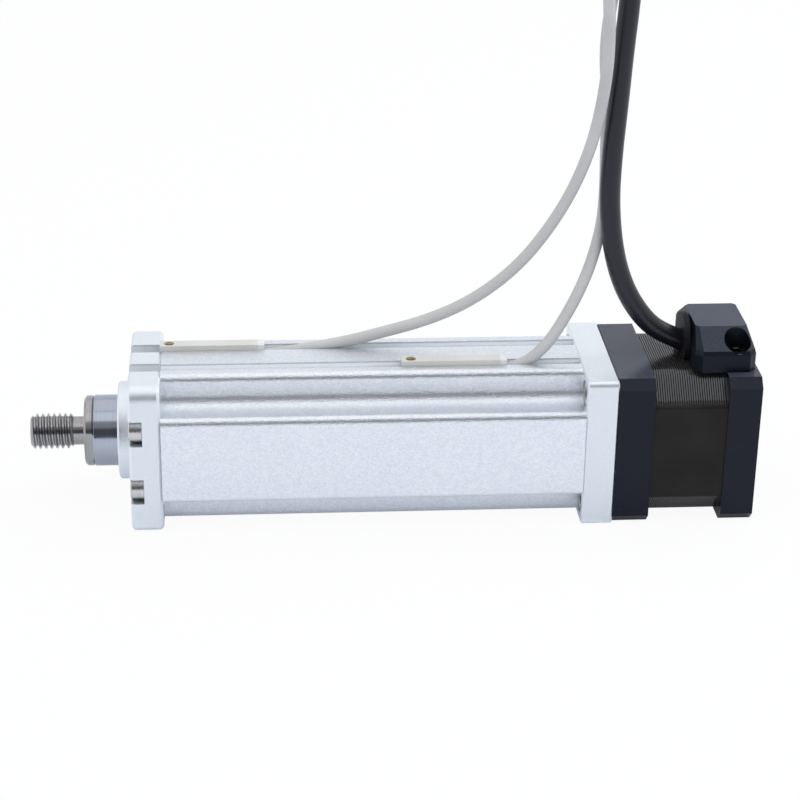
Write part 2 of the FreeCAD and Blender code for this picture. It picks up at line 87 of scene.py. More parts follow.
def reckon(tree, operation, *values):
    node = put(tree, "ShaderNodeMath", operation=operation)
    for socket, value in zip(node.inputs, values):
        wire(tree, value, socket)
    return node.outputs[0]


def choose(tree, index, values):
    node = put(tree, "GeometryNodeIndexSwitch", data_type="FLOAT")
    while len(node.index_switch_items) < len(values):
        node.index_switch_items.new()
    wire(tree, index, node.inputs[0])
    for socket, value in zip(node.inputs[1:], values):
        wire(tree, value, socket)
    return node.outputs[0]


# camera at the photograph's place
photoView = {
    "place": (0.025987, -0.442354, 0.211960),
    "right": (0.9973765, -0.0710504, 0.0138567),
    "up": (0.0173650, 0.4206621, 0.9070512),
    "back": (-0.0702753, -0.9044309, 0.4207923),
    "lens": 97.3445,
    "film": 36.0,
    "near": 0.01,
}


def setCamera(view):
    camera = addObject("photoCamera", bpy.data.cameras.new("photoCamera"))
    camera.data.lens = view["lens"]
    camera.data.sensor_width = view["film"]
    camera.data.clip_start = view["near"]
    turn = Matrix((view["right"], view["up"], view["back"])).transposed().to_4x4()
    camera.matrix_world = Matrix.Translation(view["place"]) @ turn
    scene.camera = camera


setCamera(photoView)
print("camera set")

# cords: the routes of the CAD tubes, in mm from where each one leaves its housing
motorCable = {
    "exit": (124.05, 0.0, 19.8),
    "diameter": 4.6,
    "length": 97.9,
    "route": (
        (0, 0, 0), (-5.1, 0, 2.05), (-9.35, 0, 5.55), (-13.8, 0, 12.2), (-16.85, 0, 20.95),
        (-18.5, 0, 32.5), (-18.45, 0, 44.0), (-17.75, 0, 56.0), (-17.25, 0, 67.4), (-16.4, 0, 79.2),
        (-16.4, 0, 90.6),
    ),
}
frontLead = {
    "exit": (29.15, 5.25, 15.7),
    "diameter": 2.6,
    "length": 136.6,
    "route": (
        (0, 0, 0), (3.1, 0, 0.05), (16.9, 0, 2.4), (22.5, -0.2, 3.7), (42.2, -0.8, 9.4),
        (56.2, -2.7, 19.95), (65.8, -4.5, 34.2), (71.4, -6.8, 49.05), (73.7, -9.1, 64.85),
        (73.7, -9.85, 78.85), (72.4, -9.85, 91.65),
    ),
}
rearLead = {
    "exit": (82.7, -5.25, 15.7),
    "diameter": 2.6,
    "length": 99.6,
    "route": (
        (0, 0, 0), (4.2, 0, 1.0), (7.6, 0.05, 3.55), (11.3, 1.45, 6.95), (17.7, 3.75, 18.05),
        (21.7, 8.25, 28.25), (22.9, 11.15, 36.25), (22.6, 12.15, 47.95), (22.5, 12.45, 58.2),
        (21.3, 12.7, 68.55), (22.0, 12.75, 78.55), (23.5, 12.75, 88.7),
    ),
}
cordSteps = {"along": 16, "around": 6}


def layCord(name, sizes):
    curve = bpy.data.curves.new(name, "CURVE")
    curve.dimensions = "3D"
    spline = curve.splines.new("NURBS")
    spline.points.add(len(sizes["route"]) - 1)
    leaves = Vector(sizes["exit"])
    for spot, offset in zip(spline.points, sizes["route"]):
        spot.co = (*((leaves + Vector(offset)) * mm), 1.0)
        spot.radius = sizes["diameter"] / 2 * mm  # the bevel's scale, so that the curve's box is true
    spline.order_u = 3
    spline.use_endpoint_u = True
    spline.resolution_u = cordSteps["along"]
    curve.bevel_depth = 1.0
    curve.bevel_resolution = cordSteps["around"]
    curve.use_fill_caps = True
    cord = addObject(name, curve)
    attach(cord, "housing")
    return cord


cableCord = layCord("cableCord", motorCable)
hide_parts("motor_cable")
frontLeadCord = layCord("frontLeadCord", frontLead)
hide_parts("lead_front")
rearLeadCord = layCord("rearLeadCord", rearLead)
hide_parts("lead_rear")


print("cords laid")


# light, floor and background
studio = {
    "ambient": 0.815,
    "airTint": (0.95, 0.975, 1.0, 1.0),
    "floorTone": (0.85, 0.86, 0.905, 1.0),
    "floorGlow": 0.93,  # share of plain white where the camera sees the floor
    "mirrorGlow": 0.12,  # the same where metal and glass see it
    "floorHalf": 2.5,
    "paperRough": 0.9,
    "paperShine": 0.1,
    "feltRough": 0.9,
    "lampBack": 0.06,
}
lamps = {
    "topSoftbox": {"place": (0.10, -0.26, 0.78), "wide": 1.30, "deep": 0.50, "power": 2.2, "rim": 0.03},
    "rightSoftbox": {"place": (0.62, 0.22, 0.62), "wide": 0.32, "deep": 0.32, "power": 1.6, "rim": 0.03},
}
cards = {  # only the metal sees these: dark ones behind the camera, a pale one opposite
    "darkCard": {"place": (0.05, -0.95, 0.26), "wide": 2.6, "tall": 0.62, "tone": 0.09},
    "greyCard": {"place": (0.05, -0.97, 1.18), "wide": 2.6, "tall": 1.26, "tone": 0.42},
    "paleCard": {"place": (0.05, 0.95, 0.38), "wide": 2.6, "tall": 0.90, "tone": 0.90},
}
lampAim = Vector((0.06, 0.0, 0.0))


def seenRay(tree):
    path = put(tree, "ShaderNodeLightPath")
    seen = reckon(tree, "MAXIMUM", path.outputs["Is Camera Ray"], path.outputs["Is Glossy Ray"])
    return reckon(tree, "MAXIMUM", seen, path.outputs["Is Transmission Ray"])


def setWorld():
    world = bpy.data.worlds.new("studioAir")
    scene.world = world
    world.use_nodes = True
    tree = world.node_tree
    tree.nodes.clear()
    ambient = put(tree, "ShaderNodeBackground", {"Color": studio["airTint"], "Strength": studio["ambient"]})
    backdrop = put(tree, "ShaderNodeBackground", {"Color": white, "Strength": 1.0})
    mix = put(tree, "ShaderNodeMixShader")
    wire(tree, seenRay(tree), mix.inputs[0])
    wire(tree, ambient.outputs[0], mix.inputs[1])
    wire(tree, backdrop.outputs[0], mix.inputs[2])
    put(tree, "ShaderNodeOutputWorld", {"Surface": mix.outputs[0]})


def newMaterial(name):
    material = bpy.data.materials.new(name)
    material.use_nodes = True
    return material, material.node_tree, material.node_tree.nodes["Principled BSDF"]


def hangSheet(name, corners, material):
    mesh = bpy.data.meshes.new(name)
    mesh.from_pydata(corners, [], [(0, 1, 2, 3)])
    mesh.materials.append(material)
    return addObject(name, mesh)


def layFloor():
    low = cadBox[0].z
    half = studio["floorHalf"]
    corners = [(-half, -half, low), (half, -half, low), (half, half, low), (-half, half, low)]
    paper, tree, shader = newMaterial("studioPaper")
    shader.inputs["Base Color"].default_value = studio["floorTone"]
    shader.inputs["Roughness"].default_value = studio["paperRough"]
    shader.inputs["Specular IOR Level"].default_value = studio["paperShine"]
    glow = put(tree, "ShaderNodeEmission", {"Color": white, "Strength": 1.0})
    mix = put(tree, "ShaderNodeMixShader")
    path = put(tree, "ShaderNodeLightPath")
    straight = reckon(tree, "MULTIPLY", path.outputs["Is Camera Ray"], studio["floorGlow"])
    mirrored = reckon(tree, "MAXIMUM", path.outputs["Is Glossy Ray"], path.outputs["Is Transmission Ray"])
    share = reckon(tree, "MAXIMUM", straight, reckon(tree, "MULTIPLY", mirrored, studio["mirrorGlow"]))
    wire(tree, share, mix.inputs[0])
    wire(tree, shader.outputs[0], mix.inputs[1])
    wire(tree, glow.outputs[0], mix.inputs[2])
    wire(tree, mix.outputs[0], tree.nodes["Material Output"].inputs["Surface"])
    floor = hangSheet("studioFloor", corners, paper)


def hideCard(name, corners, tone):  # mirrors see it, the camera and the plain light don't
    felt, _, shader = newMaterial(name + "Felt")
    shader.inputs["Base Color"].default_value = (tone, tone, tone, 1.0)
    shader.inputs["Roughness"].default_value = studio["feltRough"]
    card = hangSheet(name, corners, felt)
    card.visible_camera = False
    card.visible_diffuse = False
    card.visible_shadow = False


def standCards():
    for name, sizes in cards.items():
        x, y, z = sizes["place"]
        wide, tall = sizes["wide"] / 2, sizes["tall"] / 2
        left, right, foot, head = x - wide, x + wide, z - tall, z + tall
        corners = [(left, y, foot), (left, y, head), (right, y, head), (right, y, foot)]
        hideCard(name, corners, sizes["tone"])


def hangLamps():
    for name, sizes in lamps.items():
        light = bpy.data.lights.new(name, "AREA")
        light.shape = "RECTANGLE"
        light.size = sizes["wide"]
        light.size_y = sizes["deep"]
        light.energy = sizes["power"]
        light.color = studio["airTint"][:3]
        lamp = addObject(name, light)
        place = Vector(sizes["place"])
        turn = (lampAim - place).to_track_quat("-Z", "Y").to_matrix().to_4x4()
        lamp.matrix_world = Matrix.Translation(place) @ turn
        wide, deep = sizes["wide"] / 2 + sizes["rim"], sizes["deep"] / 2 + sizes["rim"]
        flat = [(-wide, -deep), (wide, -deep), (wide, deep), (-wide, deep)]
        back = [lamp.matrix_world @ Vector((x, y, sizes["rim"])) for x, y in flat]
        hideCard(name + "Back", back, studio["lampBack"])


setWorld()
layFloor()
standCards()
hangLamps()
scene.view_settings.view_transform = "Standard"
print("studio lit")


# shared surface effects
def shaderGroup(name, takes, gives):
    group = bpy.data.node_groups.new(name, "ShaderNodeTree")
    for label, kind, start in takes:
        group.interface.new_socket(label, in_out="INPUT", socket_type=kind).default_value = start
    for label, kind in gives:
        group.interface.new_socket(label, in_out="OUTPUT", socket_type=kind)
    entry = group.nodes.new("NodeGroupInput").outputs
    leave = group.nodes.new("NodeGroupOutput").inputs
    return group, entry, leave


colourKind = "NodeSocketColor"
floatKind = "NodeSocketFloat"
vectorKind = "NodeSocketVector"
surfaceGives = [("Colour", colourKind), ("Roughness", floatKind), ("Normal", vectorKind)]


def blendColours(tree, factor, first, second):
    mix = put(tree, "ShaderNodeMix", data_type="RGBA")
    wire(tree, factor, mix.inputs["Factor"])
    wire(tree, first, mix.inputs[6])
    wire(tree, second, mix.inputs[7])
    return mix.outputs[2]


def spread(tree, value, fromLow, fromHigh, toLow, toHigh):
    node = put(tree, "ShaderNodeMapRange")
    for label, given in zip(
        ("Value", "From Min", "From Max", "To Min", "To Max"), (value, fromLow, fromHigh, toLow, toHigh)
    ):
        wire(tree, given, node.inputs[label])
    return node.outputs[0]


noiseMiddle = (0.3, 0.7)


def evenOut(tree, value, low, high):  # the middle of a noise, spread over a range
    return spread(tree, value, *noiseMiddle, low, high)


def noise(tree, place, scale, detail):
    return put(tree, "ShaderNodeTexNoise", {"Vector": place, "Scale": scale, "Detail": detail}).outputs[0]


# sensor slots: where the walls are, the painted light and shade laid on them, and the painted shade line
# along the upper lip
sensorSlot = {
    "side": 5.25, "half": 2.15, "low": 12.9, "high": 17.35, "lip": 16.95, "facing": 0.5,
    "paintedLipShade": (0.42, 0.44, 0.48, 1), "rough": 0.5,
}


def slotMask(tree, place, tone):  # the walls of the two sensor slots, without blasted grain: a painted tone stands in for the light and shade inside the slot, and a painted shade line darkens the upper lip
    coords = put(tree, "ShaderNodeTexCoord").outputs["Normal"]
    facing = put(tree, "ShaderNodeSeparateXYZ", {"Vector": coords}).outputs[0]
    parts = put(tree, "ShaderNodeSeparateXYZ", {"Vector": place}).outputs
    aside = reckon(tree, "SUBTRACT", reckon(tree, "ABSOLUTE", parts[1]), sensorSlot["side"] * mm)
    mask = reckon(tree, "LESS_THAN", reckon(tree, "ABSOLUTE", aside), sensorSlot["half"] * mm)
    mask = reckon(tree, "MULTIPLY", mask, reckon(tree, "GREATER_THAN", parts[2], sensorSlot["low"] * mm))
    mask = reckon(tree, "MULTIPLY", mask, reckon(tree, "LESS_THAN", parts[2], sensorSlot["high"] * mm))
    crosswise = reckon(tree, "LESS_THAN", reckon(tree, "ABSOLUTE", facing), sensorSlot["facing"])
    mask = reckon(tree, "MULTIPLY", mask, crosswise)
    lip = spread(tree, parts[2], sensorSlot["lip"] * mm, sensorSlot["high"] * mm, 0.0, 1.0)
    return mask, blendColours(tree, lip, tone, sensorSlot["paintedLipShade"])


blastMarks = {"cloud": 60.0, "facetShare": 0.7, "cloudShare": 0.3, "fineShare": 0.8, "bump": 0.00015}
turnedMarks = {"around": 90.0, "cloud": 150.0, "leastWear": 0.6, "bump": 0.00005}
# the painted sheen of the moulded finishes: the upward tilt where it begins, and how far the grain makes it
# vary
mouldMarks = {
    "cloud": 110.0, "paintedSheenFrom": 0.68, "leastPaintedSheen": 0.75, "mostPaintedSheen": 1.25, "share": 0.5, "bump": 0.0001,
}


def makeBlastGroup():  # bead-blasted grain: small pits with bright and dull facets
    takes = [
        ("Bright", colourKind, (0.8, 0.8, 0.8, 1)), ("Dull", colourKind, (0.6, 0.6, 0.6, 1)),
        ("Grains per m", floatKind, 3000.0), ("Low Rough", floatKind, 0.3),
        ("High Rough", floatKind, 0.5), ("Depth", floatKind, 0.3),
        # painted light and shade for the sensor slot walls
        ("Painted Slot Shading", colourKind, (0.9, 0.9, 0.9, 1)),
    ]
    gives = [*surfaceGives, ("Bare Metal", floatKind)]
    tree, entry, leave = shaderGroup("blastedGrain", takes, gives)
    place = put(tree, "ShaderNodeTexCoord").outputs["Object"]
    scale = entry["Grains per m"]
    pits = put(tree, "ShaderNodeTexVoronoi", {"Vector": place, "Scale": scale})
    fine = noise(tree, place, scale, 2.0)
    cloud = noise(tree, place, blastMarks["cloud"], 3.0)
    facet = put(tree, "ShaderNodeSeparateColor", {"Color": pits.outputs["Color"]}).outputs[0]
    facetTone = reckon(tree, "MULTIPLY", facet, blastMarks["facetShare"])
    tone = reckon(tree, "ADD", facetTone, reckon(tree, "MULTIPLY", cloud, blastMarks["cloudShare"]))
    # the slot walls get their painted light and shade in place of the grain
    slot, wall = slotMask(tree, place, entry["Painted Slot Shading"])
    blasted = blendColours(tree, tone, entry["Dull"], entry["Bright"])
    wire(tree, blendColours(tree, slot, blasted, wall), leave["Colour"])
    wire(tree, reckon(tree, "SUBTRACT", 1.0, slot), leave["Bare Metal"])  # the slots keep a matt oxide skin
    rough = evenOut(tree, fine, entry["Low Rough"], entry["High Rough"])
    wire(tree, spread(tree, slot, 0.0, 1.0, rough, sensorSlot["rough"]), leave["Roughness"])
    ripple = reckon(tree, "MULTIPLY", fine, blastMarks["fineShare"])
    bump = put(tree, "ShaderNodeBump", {
        "Strength": entry["Depth"], "Distance": blastMarks["bump"],
        "Height": reckon(tree, "ADD", pits.outputs["Distance"], ripple),
    })
    wire(tree, bump.outputs[0], leave["Normal"])
    return tree


def makeTurnedGroup():  # fine rings left by turning and grinding round the X axis
    takes = [
        ("Bright", colourKind, (0.7, 0.7, 0.7, 1)), ("Dull", colourKind, (0.5, 0.5, 0.5, 1)),
        ("Lines per m", floatKind, 5000.0), ("Low Rough", floatKind, 0.15),
        ("High Rough", floatKind, 0.3), ("Depth", floatKind, 0.1),
    ]
    tree, entry, leave = shaderGroup("turnedRings", takes, surfaceGives)
    place = put(tree, "ShaderNodeTexCoord").outputs["Object"]
    parts = put(tree, "ShaderNodeSeparateXYZ", {"Vector": place})
    along = reckon(tree, "MULTIPLY", parts.outputs[0], entry["Lines per m"])
    across = reckon(tree, "MULTIPLY", parts.outputs[1], turnedMarks["around"])
    upward = reckon(tree, "MULTIPLY", parts.outputs[2], turnedMarks["around"])
    stretched = put(tree, "ShaderNodeCombineXYZ", {"X": along, "Y": across, "Z": upward}).outputs[0]
    rings = noise(tree, stretched, 1.0, 3.0)
    cloud = noise(tree, place, turnedMarks["cloud"], 2.0)
    mask = evenOut(tree, rings, 0.0, 1.0)
    wire(tree, blendColours(tree, mask, entry["Dull"], entry["Bright"]), leave["Colour"])
    worn = reckon(tree, "MULTIPLY", mask, evenOut(tree, cloud, turnedMarks["leastWear"], 1.0))
    wire(tree, spread(tree, worn, 0.0, 1.0, entry["Low Rough"], entry["High Rough"]), leave["Roughness"])
    bump = put(tree, "ShaderNodeBump", {
        "Strength": entry["Depth"], "Distance": turnedMarks["bump"], "Height": rings,
    })
    wire(tree, bump.outputs[0], leave["Normal"])
    return tree


def makeMouldGroup():  # fine texture of moulded plastic, rubber and paint, with a painted sheen on faces that look up
    takes = [
        ("Light", colourKind, (0.03, 0.03, 0.03, 1)), ("Deep", colourKind, (0.02, 0.02, 0.02, 1)),
        ("Grains per m", floatKind, 2500.0), ("Low Rough", floatKind, 0.4),
        ("High Rough", floatKind, 0.6), ("Depth", floatKind, 0.2),
        # colour and share of the painted sheen on faces that look up
        ("Veil", colourKind, (0.08, 0.08, 0.11, 1)), ("Painted Sheen Share", floatKind, 0.0),
    ]
    tree, entry, leave = shaderGroup("mouldedTexture", takes, surfaceGives)
    place = put(tree, "ShaderNodeTexCoord").outputs["Object"]
    grain = noise(tree, place, entry["Grains per m"], 2.0)
    cloud = noise(tree, place, mouldMarks["cloud"], 4.0)
    tone = evenOut(tree, cloud, 0.0, 1.0)
    moulded = blendColours(tree, tone, entry["Deep"], entry["Light"])
    facing = put(tree, "ShaderNodeTexCoord").outputs["Normal"]  # faces that look up get a painted sheen, stronger the more they look up, speckled by the grain
    upward = put(tree, "ShaderNodeSeparateXYZ", {"Vector": facing}).outputs[2]
    speckledSheen = evenOut(tree, grain, mouldMarks["leastPaintedSheen"], mouldMarks["mostPaintedSheen"])
    paintedSheenMask = spread(tree, upward, mouldMarks["paintedSheenFrom"], 1.0, 0.0, speckledSheen)
    veil = reckon(tree, "MULTIPLY", paintedSheenMask, entry["Painted Sheen Share"])
    wire(tree, blendColours(tree, veil, moulded, entry["Veil"]), leave["Colour"])
    halfGrain = reckon(tree, "MULTIPLY", grain, mouldMarks["share"])
    mixed = reckon(tree, "ADD", halfGrain, reckon(tree, "MULTIPLY", cloud, mouldMarks["share"]))
    wire(tree, evenOut(tree, mixed, entry["Low Rough"], entry["High Rough"]), leave["Roughness"])
    bump = put(tree, "ShaderNodeBump", {
        "Strength": entry["Depth"], "Distance": mouldMarks["bump"], "Height": grain,
    })
    wire(tree, bump.outputs[0], leave["Normal"])
    return tree


blastedGrain = makeBlastGroup()
turnedRings = makeTurnedGroup()
mouldedTexture = makeMouldGroup()


shaderInputs = {
    "Colour": "Base Color", "Roughness": "Roughness", "Normal": "Normal", "Bare Metal": "Metallic",
}


def makeFinish(name, group, values, plain):
    finish, tree, shader = newMaterial(name)
    effect = put(tree, "ShaderNodeGroup", node_tree=group)
    for label, value in values.items():
        effect.inputs[label].default_value = value
    for label, value in plain.items():
        shader.inputs[label].default_value = value
    for output in effect.outputs:
        wire(tree, output, shader.inputs[shaderInputs[output.name]])
    return finish


metal = {"Metallic": 1.0}
coldSheen = (0.82, 0.88, 1.0, 1)  # the blue cast of the black pieces' reflections
# colour of the painted sheen on the upward faces of the black pieces
paintedSheenTone = (0.079, 0.085, 0.115)


def opaque(tone):
    return (*tone, 1.0)


def blastedMetal(name, bright, dull, grains, rough, depth, slotTone):
    return makeFinish(name, blastedGrain, {
        "Bright": opaque(bright), "Dull": opaque(dull), "Grains per m": grains, "Low Rough": rough[0],
        "High Rough": rough[1], "Depth": depth, "Painted Slot Shading": opaque(slotTone),
    }, metal)


def turnedMetal(name, bright, dull, lines, rough, depth):
    return makeFinish(name, turnedRings, {
        "Bright": opaque(bright), "Dull": opaque(dull), "Lines per m": lines, "Low Rough": rough[0],
        "High Rough": rough[1], "Depth": depth,
    }, metal)


def mouldedFinish(name, light, deep, grains, rough, depth, shine, veilShare=0.0, veil=paintedSheenTone, extra=None):
    return makeFinish(name, mouldedTexture, {
        "Light": opaque(light), "Deep": opaque(deep), "Grains per m": grains, "Low Rough": rough[0],
        "High Rough": rough[1], "Depth": depth, "Painted Sheen Share": veilShare, "Veil": opaque(veil),
    }, {"Specular IOR Level": shine, **(extra or {})})


finishes = {
    # the slot tones are painted: darker painted shade in the slots of the machined parts, lighter painted
    # light in the barrel's slots
    "machined_silver": blastedMetal(
        "machinedSilver", bright=(0.92, 0.96, 0.995), dull=(0.86, 0.905, 0.955), grains=5000.0,
        rough=(0.44, 0.54), depth=0.1, slotTone=(0.68, 0.71, 0.74),
    ),
    "anodised_silver": blastedMetal(
        "blastedSilver", bright=(0.955, 0.98, 1.0), dull=(0.775, 0.82, 0.9), grains=3000.0,
        rough=(0.31, 0.41), depth=0.38, slotTone=(0.93, 0.955, 0.985),
    ),
    "polished_rod": turnedMetal(
        "polishedRod", bright=(0.46, 0.49, 0.56), dull=(0.4, 0.43, 0.5), lines=9000.0,
        rough=(0.15, 0.22), depth=0.03,
    ),
    "nickel_steel": turnedMetal(
        "nickelSteel", bright=(0.46, 0.455, 0.46), dull=(0.33, 0.325, 0.33), lines=6000.0,
        rough=(0.16, 0.28), depth=0.1,
    ),
    "ground_steel": turnedMetal(
        "groundSteel", bright=(0.56, 0.56, 0.57), dull=(0.46, 0.46, 0.47), lines=8000.0,
        rough=(0.18, 0.28), depth=0.06,
    ),
    "bearing_steel": turnedMetal(
        "bearingSteel", bright=(0.64, 0.64, 0.65), dull=(0.55, 0.55, 0.56), lines=8000.0,
        rough=(0.1, 0.2), depth=0.04,
    ),
    "stainless": turnedMetal(
        "stainlessScrew", bright=(0.72, 0.71, 0.69), dull=(0.56, 0.55, 0.54), lines=7000.0,
        rough=(0.2, 0.34), depth=0.1,
    ),
    # the black cap, plastic and jacket finishes carry a painted sheen on faces that look up
    "black_cap": mouldedFinish(
        "blackCap", light=(0.005, 0.006, 0.012), deep=(0.003, 0.004, 0.008), grains=4000.0,
        rough=(0.17, 0.25), depth=0.08, veilShare=0.65,
        shine=0.25, extra={"Specular Tint": coldSheen},
    ),
    "lamination": mouldedFinish(
        "plateSteel", light=(0.018, 0.017, 0.016), deep=(0.009, 0.0085, 0.008), grains=5000.0,
        rough=(0.34, 0.46), depth=0.1, shine=0.16,
    ),
    "copper": turnedMetal(
        "copperWire", bright=(0.8, 0.42, 0.25), dull=(0.6, 0.28, 0.16), lines=3000.0,
        rough=(0.22, 0.38), depth=0.25,
    ),
    "black_plastic": mouldedFinish(
        "blackPlastic", light=(0.004, 0.005, 0.011), deep=(0.003, 0.004, 0.008), grains=3200.0,
        rough=(0.34, 0.46), depth=0.2, veilShare=0.75,
        shine=0.22, extra={"Specular Tint": coldSheen},
    ),
    "black_rubber": mouldedFinish(
        "blackRubber", light=(0.012, 0.012, 0.015), deep=(0.007, 0.007, 0.01), grains=2600.0,
        rough=(0.5, 0.64), depth=0.2, shine=0.15,
    ),
    "black_jacket": mouldedFinish(
        "blackJacket", light=(0.007, 0.007, 0.013), deep=(0.004, 0.004, 0.009), grains=2200.0,
        rough=(0.28, 0.38), depth=0.15, veilShare=0.15, shine=0.5,
    ),
    "grey_jacket": mouldedFinish(
        "greyJacket", light=(0.56, 0.555, 0.55), deep=(0.5, 0.495, 0.49), grains=2200.0,
        rough=(0.42, 0.54), depth=0.12, shine=0.4,
    ),
    "ivory_plastic": mouldedFinish(
        "ivoryPlastic", light=(0.69, 0.69, 0.645), deep=(0.62, 0.62, 0.575), grains=3200.0,
        rough=(0.36, 0.48), depth=0.1, shine=0.4,
    ),
    "clear_plastic": mouldedFinish(
        "clearPlastic", light=(0.97, 0.975, 0.98), deep=(0.93, 0.935, 0.945), grains=2200.0,
        rough=(0.2, 0.3), depth=0.05, shine=0.5, extra={"Transmission Weight": 0.2, "IOR": 1.47},
    ),
    "brass": turnedMetal(
        "brassScrew", bright=(0.62, 0.47, 0.26), dull=(0.4, 0.3, 0.17), lines=6000.0,
        rough=(0.24, 0.4), depth=0.12,
    ),
    "bronze": turnedMetal(
        "bronzeBush", bright=(0.58, 0.38, 0.19), dull=(0.44, 0.28, 0.14), lines=6000.0,
        rough=(0.28, 0.42), depth=0.1,
    ),
    "wear_polymer": mouldedFinish(
        "wearPolymer", light=(0.24, 0.27, 0.26), deep=(0.18, 0.21, 0.2), grains=2600.0,
        rough=(0.42, 0.55), depth=0.12, shine=0.4,
    ),
    "magnet": mouldedFinish(
        "ferriteRing", light=(0.06, 0.06, 0.064), deep=(0.04, 0.04, 0.043), grains=3000.0,
        rough=(0.45, 0.6), depth=0.15, shine=0.5,
    ),
}
blackenedScrew = turnedMetal(
    "blackenedScrew", bright=(0.1, 0.1, 0.11), dull=(0.05, 0.05, 0.055), lines=7000.0,
    rough=(0.24, 0.38), depth=0.1,
)
# plate edges: dark steel with a slight painted sheen on their faces that look up
plateEdge = mouldedFinish(
    "plateEdge", light=(0.022, 0.021, 0.022), deep=(0.012, 0.012, 0.013), grains=5000.0,
    rough=(0.16, 0.26), depth=0.06, veilShare=0.06, veil=(0.2, 0.19, 0.186),
    shine=1.0,
)


def dressNodes():
    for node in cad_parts.values():
        slot = node.data.materials[0].name.split(".")[0]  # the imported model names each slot
        node.data.materials.clear()
        node.data.materials.append(finishes[slot])


dressNodes()
cableCord.data.materials.append(finishes["black_jacket"])
frontLeadCord.data.materials.append(finishes["grey_jacket"])
rearLeadCord.data.materials.append(finishes["grey_jacket"])
print("finishes made:", len(finishes))

# geometry trees and the pieces they grow
materialKind = "NodeSocketMaterial"


def geometryTree(name, takes):
    tree = bpy.data.node_groups.new(name, "GeometryNodeTree")
    tree.interface.new_socket("Geometry", in_out="INPUT", socket_type="NodeSocketGeometry")
    for label, kind in takes:
        tree.interface.new_socket(label, in_out="INPUT", socket_type=kind)
    tree.interface.new_socket("Geometry", in_out="OUTPUT", socket_type="NodeSocketGeometry")
    return tree, tree.nodes.new("NodeGroupInput").outputs, tree.nodes.new("NodeGroupOutput").inputs


def endTree(tree, shape, finish, leave):
    real = put(tree, "GeometryNodeRealizeInstances", {"Geometry": shape})
    painted = put(tree, "GeometryNodeSetMaterial", {"Geometry": real.outputs[0], "Material": finish})
    wire(tree, painted.outputs[0], leave[0])


def roundGrid(tree, around, rings):  # a grid whose columns go round and whose rows follow the profile
    grid = put(tree, "GeometryNodeMeshGrid", {"Vertices X": around + 1, "Vertices Y": rings})
    index = put(tree, "GeometryNodeInputIndex").outputs[0]
    column = reckon(tree, "FLOOR", reckon(tree, "DIVIDE", index, rings))
    ring = reckon(tree, "MODULO", index, rings)
    return grid.outputs["Mesh"], column, ring


def wrapGrid(tree, grid, angle, radius, along, order):
    across = reckon(tree, "MULTIPLY", radius, reckon(tree, "COSINE", angle))
    up = reckon(tree, "MULTIPLY", radius, reckon(tree, "SINE", angle))
    spot = put(tree, "ShaderNodeCombineXYZ", dict(zip(order, (across, up, along))))
    placed = put(tree, "GeometryNodeSetPosition", {"Geometry": grid, "Position": spot.outputs[0]})
    joined = put(tree, "GeometryNodeMergeByDistance", {"Geometry": placed.outputs[0], "Distance": mergeReach})
    return joined.outputs[0]


def growPiece(name, tree, sizes, points=((0, 0, 0),)):
    seed = bpy.data.meshes.new(name + "Seed")
    seed.from_pydata(points, [], [])
    piece = addObject(name, seed)
    modifier = piece.modifiers.new("grow", "NODES")
    modifier.node_group = tree
    for socket in tree.interface.items_tree:
        if socket.in_out == "INPUT" and socket.name in sizes:
            modifier[socket.identifier] = sizes[socket.name]
    bpy.context.view_layer.update()
    evaluated = piece.evaluated_get(bpy.context.evaluated_depsgraph_get())
    grown = bpy.data.meshes.new_from_object(evaluated)
    piece.modifiers.remove(modifier)
    piece.data = grown
    return piece


crease = {"plain": 35.0, "tight": 30.0, "screw": 28.0}  # degrees from which an edge stays sharp


def finishMesh(mesh, sharpAngle):
    work = bmesh.new()
    work.from_mesh(mesh)
    bmesh.ops.remove_doubles(work, verts=work.verts, dist=mergeReach)
    bmesh.ops.recalc_face_normals(work, faces=work.faces)
    for face in work.faces:
        face.smooth = True
    work.to_mesh(mesh)
    work.free()
    mesh.set_sharp_from_angle(angle=math.radians(sharpAngle))


def paintWhole(mesh, slot):
    mesh.materials.clear()
    mesh.materials.append(finishes[slot])
    mesh.polygons.foreach_set("material_index", [0] * len(mesh.polygons))


def standFor(piece, node, body, sharpAngle=crease["plain"]):
    finishMesh(piece.data, sharpAngle)
    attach(piece, body)
    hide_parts(node)


screwGrid = {"around": 72, "rings": 13, "knurlFrom": 1.3, "least": 0.001}


